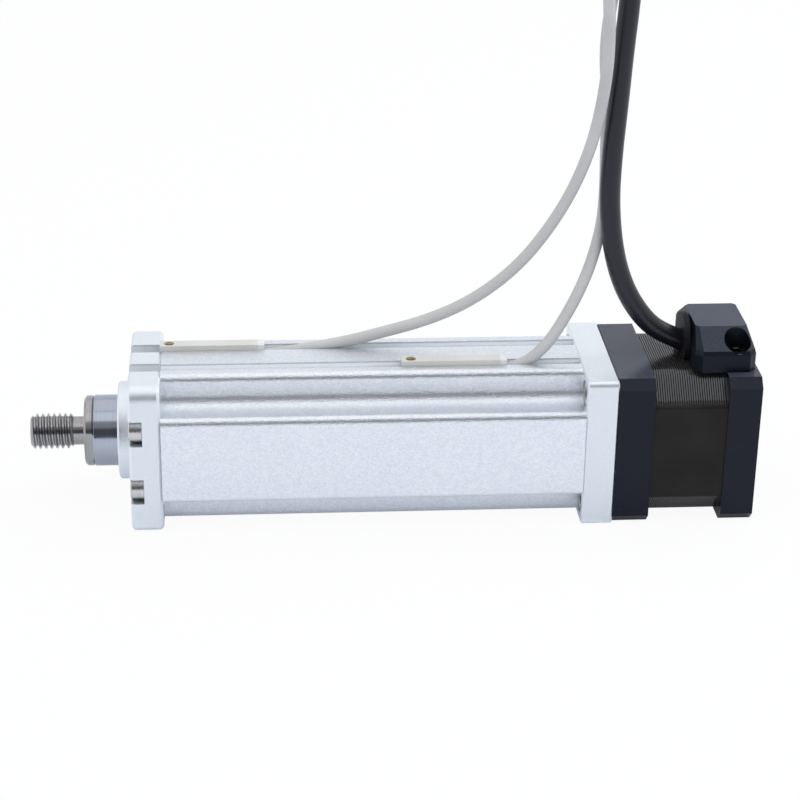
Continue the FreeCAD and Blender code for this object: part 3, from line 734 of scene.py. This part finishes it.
def makeScrewTree():
    labels = (
        "Head Width", "Head Depth", "Edge", "Recess Width", "Recess Depth", "Arm Half", "Knurl", "Shank",
        "Length",
    )
    takes = [(label, floatKind) for label in labels]
    takes += [("Recess Kind", "NodeSocketInt"), ("Turn", vectorKind), ("Finish", materialKind)]
    tree, entry, leave = geometryTree("sunkScrew", takes)
    grid, column, ring = roundGrid(tree, screwGrid["around"], screwGrid["rings"])
    angle = reckon(tree, "MULTIPLY", column, math.tau / screwGrid["around"])
    half = reckon(tree, "MULTIPLY", entry["Head Width"], 0.5)
    reach = reckon(tree, "MULTIPLY", entry["Recess Width"], 0.5)
    edge = entry["Edge"]
    sector = reckon(tree, "SUBTRACT", reckon(tree, "MODULO", angle, math.pi / 3), math.pi / 6)
    hexReach = reckon(tree, "DIVIDE", reach, reckon(tree, "COSINE", sector))

    def size(operation):
        return reckon(
            tree, "MAXIMUM", reckon(tree, "ABSOLUTE", reckon(tree, operation, angle)), screwGrid["least"]
        )

    def crossArm(ahead, aside):
        end = reckon(tree, "DIVIDE", reach, ahead)
        return reckon(tree, "MINIMUM", end, reckon(tree, "DIVIDE", entry["Arm Half"], aside))

    cosine, sine = size("COSINE"), size("SINE")
    armOne, armTwo = crossArm(cosine, sine), crossArm(sine, cosine)
    recess = choose(tree, entry["Recess Kind"], (hexReach, reckon(tree, "MAXIMUM", armOne, armTwo), armOne))
    ridge = reckon(tree, "MULTIPLY", entry["Knurl"], reckon(tree, "MODULO", column, 2.0))
    knurled = reckon(tree, "SUBTRACT", half, ridge)
    shank = reckon(tree, "MULTIPLY", entry["Shank"], 0.5)
    halfEdge = reckon(tree, "MULTIPLY", edge, 0.5)
    radius = choose(tree, ring, (
        0.0, recess, recess, reckon(tree, "ADD", recess, halfEdge), reckon(tree, "SUBTRACT", half, edge),
        half, knurled, knurled, half, reckon(tree, "SUBTRACT", half, halfEdge), shank, shank, 0.0,
    ))
    deep = reckon(tree, "MULTIPLY", entry["Recess Depth"], -1.0)
    under = reckon(tree, "MULTIPLY", entry["Head Depth"], -1.0)
    tip = reckon(tree, "SUBTRACT", under, entry["Length"])
    level = choose(tree, ring, (
        deep, deep, reckon(tree, "MULTIPLY", halfEdge, -1.0), 0.0, 0.0, reckon(tree, "MULTIPLY", edge, -1.0),
        reckon(tree, "MULTIPLY", edge, -screwGrid["knurlFrom"]), reckon(tree, "ADD", under, edge),
        reckon(tree, "ADD", under, halfEdge), under, under, tip, tip,
    ))
    screw = wrapGrid(tree, grid, angle, radius, level, "XYZ")
    turned = put(tree, "FunctionNodeEulerToRotation", {"Euler": entry["Turn"]})
    placed = put(tree, "GeometryNodeInstanceOnPoints", {
        "Points": entry["Geometry"], "Instance": screw, "Rotation": turned.outputs[0],
    })
    endTree(tree, placed.outputs[0], entry["Finish"], leave)
    return tree


sunkScrew = makeScrewTree()
hexKind, crossKind, slotKind = 0, 1, 2
faceFront, faceRear, faceUp = (0.0, -math.pi / 2, 0.0), (0.0, math.pi / 2, 0.0), (0.0, 0.0, 0.0)
flangeScrew = {
    "Head Width": 5.5, "Head Depth": 3.0, "Edge": 0.25, "Recess Width": 2.5, "Recess Depth": 1.5,
    "Arm Half": 0.5, "Knurl": 0.06, "Shank": 3.0, "Length": 10.0,
}
motorScrew = {**flangeScrew, "Length": 7.8}
caseScrew = {
    "Head Width": 4.6, "Head Depth": 1.8, "Edge": 0.3, "Recess Width": 2.6, "Recess Depth": 1.1,
    "Arm Half": 0.35, "Knurl": 0.0, "Shank": 2.5, "Length": 24.8,
}
coverScrew = {
    **flangeScrew, "Head Depth": 2.0, "Recess Width": 2.0, "Recess Depth": 1.1, "Knurl": 0.0, "Length": 6.0,
}
clampScrew = {
    "Head Width": 2.2, "Head Depth": 5.0, "Edge": 0.12, "Recess Width": 1.7, "Recess Depth": 0.5,
    "Arm Half": 0.2, "Knurl": 0.0, "Shank": 1.6, "Length": 0.14,
}


def inMetres(sizes):
    return {label: size * mm for label, size in sizes.items()}


def growScrews(name, node, sizes, kind, turn, slot, points, finish=None):
    values = inMetres(sizes)
    values.update({"Recess Kind": kind, "Turn": turn, "Finish": finish or finishes[slot]})
    piece = growPiece(name, sunkScrew, values, points)
    standFor(piece, node, "housing", crease["screw"])


def cornerPoints(node, head, x):  # the four screws of a node, a head's half in from its box
    low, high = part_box(node)
    inset = head / 2 * mm
    return [(x, y, z) for y in (low.y + inset, high.y - inset) for z in (low.z + inset, high.z - inset)]


def driveScrews():
    for name, node, sizes, kind, turn, end in (
        ("flangeScrews", "flange_screws", flangeScrew, hexKind, faceFront, 0),
        ("motorScrews", "motor_screws", motorScrew, hexKind, faceFront, 0),
        ("caseScrews", "case_screws", caseScrew, crossKind, faceRear, 1),
    ):
        spots = cornerPoints(node, sizes["Head Width"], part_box(node)[end].x)
        growScrews(name, node, sizes, kind, turn, "stainless", spots)
    low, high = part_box("cover_screws")
    inset = coverScrew["Head Width"] / 2 * mm
    middle = (low.x + high.x) / 2
    spots = [(middle, low.y + inset, high.z), (middle, high.y - inset, high.z)]
    growScrews("coverScrews", "cover_screws", coverScrew, hexKind, faceUp, "stainless", spots, blackenedScrew)
    low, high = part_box("sensor_screws")
    inset = clampScrew["Head Width"] / 2 * mm
    spots = [(low.x + inset, high.y - inset, high.z), (high.x - inset, low.y + inset, high.z)]
    growScrews("clampScrews", "sensor_screws", clampScrew, slotKind, faceUp, "brass", spots)


driveScrews()
print("screws driven")

# laminated stack: thin plates on a slightly smaller core
platePack = {
    "Plate": 0.32, "Width": 34.4, "Chamfer": 6.0, "Round": 4.2, "Core Round": 0.8, "Bore": 18.8,
    "Groove": 0.34, "Skin": 0.01,
}
plateCount, roundSteps, boreSides = 32, 8, 48


def joinShapes(tree, *shapes):
    joined = put(tree, "GeometryNodeJoinGeometry")
    for shape in shapes:
        wire(tree, shape, joined.inputs[0])
    return joined.outputs[0]


def makePackTree():
    labels = ("Pitch", *platePack, "Front", "Long")
    takes = [(label, floatKind) for label in labels] + [("Plates", "NodeSocketInt")]
    takes += [("Finish", materialKind), ("Edge Finish", materialKind)]
    tree, entry, leave = geometryTree("platePack", takes)

    def plateShape(tall, wide, chamfer, ease, thick):
        outline = put(tree, "GeometryNodeCurvePrimitiveQuadrilateral", {"Width": tall, "Height": wide})
        cut = put(tree, "GeometryNodeFilletCurve", {
            "Curve": outline.outputs[0], "Radius": chamfer,
        }, mode="POLY")
        eased = put(tree, "GeometryNodeFilletCurve", {
            "Curve": cut.outputs[0], "Count": roundSteps, "Radius": ease,
        }, mode="POLY")
        bore = put(tree, "GeometryNodeCurvePrimitiveCircle", {
            "Resolution": boreSides, "Radius": reckon(tree, "MULTIPLY", entry["Bore"], 0.5),
        })
        both = joinShapes(tree, eased.outputs[0], bore.outputs[0])
        sheet = put(tree, "GeometryNodeFillCurve", {"Curve": both}).outputs[0]
        raised = put(tree, "GeometryNodeExtrudeMesh", {
            "Mesh": sheet, "Offset Scale": thick, "Individual": False,
        })
        back = put(tree, "GeometryNodeFlipFaces", {"Mesh": sheet})
        closed = joinShapes(tree, raised.outputs[0], back.outputs[0])
        solid = put(tree, "GeometryNodeMergeByDistance", {"Geometry": closed, "Distance": mergeReach})
        return solid.outputs[0]

    plate = plateShape(entry["Width"], entry["Width"], entry["Chamfer"], entry["Round"], entry["Plate"])
    start = put(tree, "ShaderNodeCombineXYZ", {"X": entry["Front"]})
    step = put(tree, "ShaderNodeCombineXYZ", {"X": entry["Pitch"]})
    line = put(tree, "GeometryNodeMeshLine", {
        "Count": entry["Plates"], "Start Location": start.outputs[0], "Offset": step.outputs[0],
    })
    plates = put(tree, "GeometryNodeInstanceOnPoints", {
        "Points": line.outputs[0], "Instance": plate, "Rotation": faceRear,
    })
    low = reckon(tree, "SUBTRACT", entry["Width"], reckon(tree, "MULTIPLY", entry["Groove"], 2.0))
    smooth = reckon(tree, "ADD", entry["Width"], entry["Skin"])  # the two sides are ground flush
    core = plateShape(low, smooth, entry["Chamfer"], entry["Core Round"], entry["Long"])
    placed = put(tree, "GeometryNodeTransform", {
        "Geometry": core, "Translation": start.outputs[0], "Rotation": faceRear,
    })
    marked = put(tree, "GeometryNodeStoreNamedAttribute", {
        "Geometry": placed.outputs[0], "Name": "isCore", "Value": True,
    }, data_type="BOOLEAN", domain="FACE")
    whole = joinShapes(tree, plates.outputs[0], marked.outputs[0])
    real = put(tree, "GeometryNodeRealizeInstances", {"Geometry": whole})
    edged = put(tree, "GeometryNodeSetMaterial", {
        "Geometry": real.outputs[0], "Material": entry["Edge Finish"],
    })
    isCore = put(tree, "GeometryNodeInputNamedAttribute", {"Name": "isCore"}, data_type="BOOLEAN")
    painted = put(tree, "GeometryNodeSetMaterial", {
        "Geometry": edged.outputs[0], "Selection": isCore.outputs[0], "Material": entry["Finish"],
    })
    wire(tree, painted.outputs[0], leave[0])
    return tree


def stackPlates():
    low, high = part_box("motor_stator")
    values = inMetres(platePack)
    values.update({
        "Pitch": (high.x - low.x - values["Plate"]) / (plateCount - 1), "Plates": plateCount,
        "Front": low.x, "Long": high.x - low.x, "Finish": finishes["lamination"], "Edge Finish": plateEdge,
    })
    standFor(growPiece("platePack", makePackTree(), values), "motor_stator", "housing")


stackPlates()
print("plates stacked")

# threaded rod end: the thread is a helical grid, the neck, shoulder and spigot are turned
threadEnd = {
    "pitch": 1.25, "crest": 4.0, "root": 3.3, "point": 3.2, "neck": 3.2, "neckLong": 2.55, "relief": 0.3,
    "shoulder": 7.9, "shoulderLong": 2.0, "frontBreak": 0.5, "rearBreak": 0.25, "flats": 7.0, "spigot": 5.4,
}
threadTurn = {
    "around": 72, "turns": 10, "breakSteps": 5,
    "start": 2.5, "flats": 10.0,  # degrees
    "phase": 0.28, "leastAcross": 0.1,
}
threadRows = (  # share of the pitch, share of the depth
    (0.0, 0.0), (0.125, 0.0), (0.25, 0.0), (0.354, 0.333), (0.458, 0.667), (0.5625, 1.0), (0.6875, 1.0),
    (0.792, 0.667), (0.896, 0.333),
)


def makeThreadTree():
    labels = ("Tip", "Rear", "Pitch", "Crest", "Root", "Point", "Neck", "Turn", "Phase")
    takes = [(label, floatKind) for label in labels] + [("Finish", materialKind)]
    tree, entry, leave = geometryTree("studThread", takes)
    around, perTurn = threadTurn["around"], len(threadRows)
    grid, column, row = roundGrid(tree, around, perTurn * threadTurn["turns"])
    winding = reckon(tree, "DIVIDE", column, around)
    angle = reckon(tree, "ADD", reckon(tree, "MULTIPLY", winding, math.tau), entry["Turn"])
    which = reckon(tree, "MODULO", row, perTurn)
    turn = reckon(tree, "SUBTRACT", reckon(tree, "FLOOR", reckon(tree, "DIVIDE", row, perTurn)), 1.0)
    share = choose(tree, which, [step[0] for step in threadRows])
    depth = choose(tree, which, [step[1] for step in threadRows])
    ahead = reckon(tree, "ADD", winding, entry["Phase"])
    travel = reckon(tree, "ADD", reckon(tree, "ADD", turn, share), ahead)
    free = reckon(tree, "ADD", entry["Tip"], reckon(tree, "MULTIPLY", travel, entry["Pitch"]))
    along = reckon(tree, "MINIMUM", reckon(tree, "MAXIMUM", free, entry["Tip"]), entry["Rear"])
    high = reckon(tree, "SUBTRACT", entry["Crest"], entry["Root"])
    cutTo = reckon(tree, "ADD", entry["Root"], reckon(tree, "MULTIPLY", high, depth))
    tipCone = reckon(tree, "ADD", entry["Point"], reckon(tree, "SUBTRACT", along, entry["Tip"]))
    rearCone = reckon(tree, "ADD", entry["Neck"], reckon(tree, "SUBTRACT", entry["Rear"], along))
    radius = reckon(tree, "MINIMUM", reckon(tree, "MINIMUM", cutTo, tipCone), rearCone)
    endTree(tree, wrapGrid(tree, grid, angle, radius, along, "YZX"), entry["Finish"], leave)
    return tree


def turnProfile(work, profile, around, turn):
    rings = []
    for x, radius in profile:
        ring = []
        for step in range(around):
            angle = math.tau * step / around
            reach = radius(angle) if callable(radius) else radius
            ring.append(work.verts.new((x, reach * math.cos(angle + turn), reach * math.sin(angle + turn))))
        rings.append(ring)
    for first, second in zip(rings, rings[1:]):
        for step in range(around):
            after = (step + 1) % around
            work.faces.new((first[step], first[after], second[after], second[step]))
    return rings


def cutThread():
    low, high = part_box("rod_end")
    sizes = inMetres(threadEnd)
    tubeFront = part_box("rod_tube")[0].x
    faceFrom = tubeFront - sizes["shoulderLong"]
    studRear = faceFrom - sizes["neckLong"]
    around = threadTurn["around"]
    turn = math.radians(threadTurn["start"])
    values = {
        "Tip": low.x, "Rear": studRear, "Pitch": sizes["pitch"], "Crest": sizes["crest"],
        "Root": sizes["root"], "Point": sizes["point"], "Neck": sizes["neck"], "Turn": turn,
        "Phase": threadTurn["phase"], "Finish": finishes["nickel_steel"],
    }
    piece = growPiece("threadedRodEnd", makeThreadTree(), values)

    def flatReach(limit):
        def reach(angle):
            across = abs(math.cos(angle + turn - math.radians(threadTurn["flats"])))
            return min(sizes["flats"] / max(across, threadTurn["leastAcross"]), limit)
        return reach

    rim = sizes["shoulder"] - sizes["frontBreak"]
    rearRim = sizes["shoulder"] - sizes["rearBreak"]
    profile = [
        (studRear, sizes["neck"]), (faceFrom - sizes["relief"], sizes["neck"]),
        (faceFrom, sizes["neck"] + sizes["relief"]),
    ]
    for step in range(threadTurn["breakSteps"] + 1):
        deep = sizes["frontBreak"] * step / threadTurn["breakSteps"]
        profile.append((faceFrom + deep, flatReach(rim + deep)))
    profile += [
        (tubeFront - sizes["rearBreak"], flatReach(sizes["shoulder"])), (tubeFront, flatReach(rearRim)),
        (tubeFront, sizes["spigot"]), (high.x, sizes["spigot"]),
    ]
    work = bmesh.new()
    work.from_mesh(piece.data)
    rings = turnProfile(work, profile, around, turn)
    work.faces.new(rings[-1])
    tip = turnProfile(work, [(low.x, sizes["point"])], around, turn)
    work.faces.new(tip[0])
    work.to_mesh(piece.data)
    work.free()
    paintWhole(piece.data, "nickel_steel")
    standFor(piece, "rod_end", "rod", crease["tight"])


cutThread()
print("thread cut")

# plug of the motor cable: a six-way shell with a latch and a ribbed boot
plugShell = {
    "boot": 3.6, "bootLow": 2.5, "bootHigh": 3.3, "groove": 0.3, "edge": 0.35,
    "hole": 2.1, "pitchX": 3.0, "pitchY": 3.1, "deep": 6.0,
    "latchWide": 3.2, "latchLong": 8.4, "latchThick": 0.8, "latchGap": 0.7, "latchFoot": 1.6,
    "latchDrop": 1.05, "latchRoot": 1.6, "latchBend": 2.2, "latchNose": 0.8,
}
shellEdge = {"segments": 3, "profile": 0.5}
bootRibs = {"count": 4, "rib": 0.17, "sides": 40}  # a rib's height is a share of the boot's
barSides = 16
sameSpot = 1e-7
plugHoles = (3, 2)  # along X and Y
plugRib = {"Top": 0.32, "Bottom": 0.32, "Long": 8.4}
plugPin = {"Top": 0.22, "Bottom": 0.42, "Long": 4.6}
ribLevels = (5.2, 6.5, 7.8, 9.1)  # above the plug's lower end


def makeBarTree():
    takes = [(label, floatKind) for label in ("Top", "Bottom", "Long")]
    takes += [("Turn", vectorKind), ("Finish", materialKind)]
    tree, entry, leave = geometryTree("roundBars", takes)
    bar = put(tree, "GeometryNodeMeshCone", {
        "Vertices": barSides, "Radius Top": entry["Top"], "Radius Bottom": entry["Bottom"],
        "Depth": entry["Long"],
    })
    turned = put(tree, "FunctionNodeEulerToRotation", {"Euler": entry["Turn"]})
    bars = put(tree, "GeometryNodeInstanceOnPoints", {
        "Points": entry["Geometry"], "Instance": bar.outputs["Mesh"], "Rotation": turned.outputs[0],
    })
    endTree(tree, bars.outputs[0], entry["Finish"], leave)
    return tree


def rowCentres(middle, count, pitch):
    return [middle + (step - (count - 1) / 2) * pitch for step in range(count)]


def cutLines(low, high, centres, hole):
    lines = [low]
    for centre in centres:
        lines += [centre - hole / 2, centre + hole / 2]
    return lines + [high]


def shapeShell(work, low, high, floor, sizes):
    columns = rowCentres((low.x + high.x) / 2, plugHoles[0], sizes["pitchX"])
    rows = rowCentres((low.y + high.y) / 2, plugHoles[1], sizes["pitchY"])
    xs = cutLines(low.x, high.x, columns, sizes["hole"])
    ys = cutLines(low.y, high.y, rows, sizes["hole"])
    face = [[work.verts.new((x, y, high.z)) for y in ys] for x in xs]
    for i in range(len(xs) - 1):
        for j in range(len(ys) - 1):
            rim = (face[i][j], face[i + 1][j], face[i + 1][j + 1], face[i][j + 1])
            if i % 2 == 0 or j % 2 == 0:
                work.faces.new(rim)
                continue
            deep = [work.verts.new((spot.co.x, spot.co.y, high.z - sizes["deep"])) for spot in rim]
            work.faces.new(deep)
            for step in range(4):
                after = (step + 1) % 4
                work.faces.new((rim[step], rim[after], deep[after], deep[step]))
    lastX, lastY = len(xs) - 1, len(ys) - 1
    loop = [face[i][0] for i in range(lastX)] + [face[lastX][j] for j in range(lastY)]
    loop += [face[i][lastY] for i in range(lastX, 0, -1)] + [face[0][j] for j in range(lastY, 0, -1)]
    base = [work.verts.new((spot.co.x, spot.co.y, floor)) for spot in loop]
    work.faces.new(base)
    for step in range(len(loop)):
        after = (step + 1) % len(loop)
        work.faces.new((loop[step], loop[after], base[after], base[step]))
    corners = {(x, y) for x in (xs[0], xs[-1]) for y in (ys[0], ys[-1])}
    upright = []
    for edge in work.edges:
        ends = [(spot.co.x, spot.co.y) for spot in edge.verts]
        if ends[0] == ends[1] and any(math.dist(ends[0], corner) < sameSpot for corner in corners):
            upright.append(edge)
    bmesh.ops.bevel(work, geom=upright, offset=sizes["edge"], affect="EDGES", **shellEdge)


def shapeBoot(work, low, middle, floor, sizes):
    tall = floor - low.z
    profile = []
    for step in range(bootRibs["count"]):
        share, after = step / bootRibs["count"], (step + 1) / bootRibs["count"]
        outer = sizes["bootLow"] + (sizes["bootHigh"] - sizes["bootLow"]) * share
        inner = outer - sizes["groove"]
        ribTop = tall * (share + bootRibs["rib"])
        profile += [(tall * share, outer), (ribTop, outer), (ribTop, inner), (tall * after, inner)]
    profile.append((tall, sizes["bootHigh"]))
    boot = bmesh.new()
    turnProfile(boot, profile, bootRibs["sides"], 0.0)
    bmesh.ops.holes_fill(boot, edges=[edge for edge in boot.edges if edge.is_boundary])
    turn = Matrix.Rotation(-math.pi / 2, 4, "Y")
    place = Matrix.Translation((middle.x, middle.y, low.z))
    bmesh.ops.transform(boot, matrix=place @ turn, verts=boot.verts)
    spare = bpy.data.meshes.new("plugBoot")
    boot.to_mesh(spare)
    boot.free()
    work.from_mesh(spare)
    bpy.data.meshes.remove(spare)


def shapeLatch(work, low, high, sizes):  # a spring arm beside the shell, bridged to it near the mating end
    half, lean = sizes["latchWide"] / 2, sizes["latchGap"] / 2
    near = low.x - sizes["latchGap"]
    far = near - sizes["latchThick"]
    top = high.z - sizes["latchDrop"]
    foot = top - sizes["latchLong"]
    ankle = foot + sizes["latchFoot"]
    outline = [
        (low.x, top), (low.x, top - sizes["latchRoot"]), (near, top - sizes["latchBend"]), (near, ankle),
        (near + lean, foot), (far - lean, foot), (far, ankle), (far, top - sizes["latchNose"]), (near, top),
    ]
    middleY = (low.y + high.y) / 2
    sides = [[work.verts.new((x, middleY + side, z)) for x, z in outline] for side in (-half, half)]
    work.faces.new(sides[0])
    work.faces.new(sides[1])
    for step in range(len(outline)):
        after = (step + 1) % len(outline)
        work.faces.new((sides[0][step], sides[0][after], sides[1][after], sides[1][step]))


def makePlug():
    low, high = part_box("motor_plug")
    middle = (low + high) / 2
    sizes = inMetres(plugShell)
    floor = low.z + sizes["boot"]
    work = bmesh.new()
    shapeBoot(work, low, middle, floor, sizes)
    shapeLatch(work, low, high, sizes)
    shapeShell(work, low, high, floor, sizes)  # last, so that its bevel can't shuffle the other faces
    shell = addObject("plugShell", bpy.data.meshes.new("plugShell"))
    work.to_mesh(shell.data)
    work.free()
    paintWhole(shell.data, "black_plastic")
    standFor(shell, "motor_plug", "housing", crease["tight"])
    barTree = makeBarTree()
    ribStart = middle.x - plugRib["Long"] / 2 * mm
    ribSpots = [(ribStart, y, low.z + level * mm) for y in (low.y, high.y) for level in ribLevels]
    ribs = growPiece("plugRibs", barTree, {
        **inMetres(plugRib), "Turn": faceRear, "Finish": finishes["black_plastic"],
    }, ribSpots)
    pinFoot = high.z - sizes["deep"]
    pinSpots = [
        (x, y, pinFoot) for x in rowCentres(middle.x, plugHoles[0], sizes["pitchX"])
        for y in rowCentres(middle.y, plugHoles[1], sizes["pitchY"])
    ]
    pins = growPiece("plugPins", barTree, {
        **inMetres(plugPin), "Turn": faceUp, "Finish": finishes["brass"],
    }, pinSpots)
    for piece, slot in ((ribs, "black_plastic"), (pins, "brass")):
        finishMesh(piece.data, crease["plain"])
        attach(piece, "housing")
    return [shell, ribs, pins]


makePlug()
print("plug made")

bpy.context.view_layer.update()
